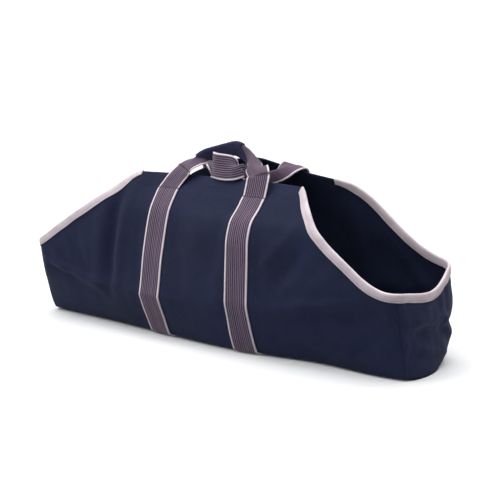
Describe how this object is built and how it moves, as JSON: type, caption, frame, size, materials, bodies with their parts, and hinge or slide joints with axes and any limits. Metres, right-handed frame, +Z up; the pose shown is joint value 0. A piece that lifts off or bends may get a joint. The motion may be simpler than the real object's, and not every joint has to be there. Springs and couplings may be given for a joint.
{
  "type": "log carrier",
  "caption": "Open canvas trough for carrying firewood, with scooped bound ends, end walls, webbing straps under the body and loop handles.",
  "frame": {"origin": "on the floor under the middle of the bounding box", "axes": "+X along the carrier to its right end, +Y to the back, +Z up"},
  "size_m": [0.676, 0.1891, 0.2944],
  "materials": {
    "canvas": "matt navy canvas",
    "binding": "matt pinkish beige tape",
    "webbing": "mauve-brown webbing with fine navy stripes and pale edges",
    "wrap": "matt dark navy cloth"
  },
  "bodies": {
    "root": {"body_sheet": "canvas", "end_wall_left": "canvas", "end_wall_right": "canvas", "binding_left": "binding", "binding_right": "binding", "front_strap": "webbing", "back_strap": "webbing", "grip_wrap": "wrap"}
  },
  "joints": []
}
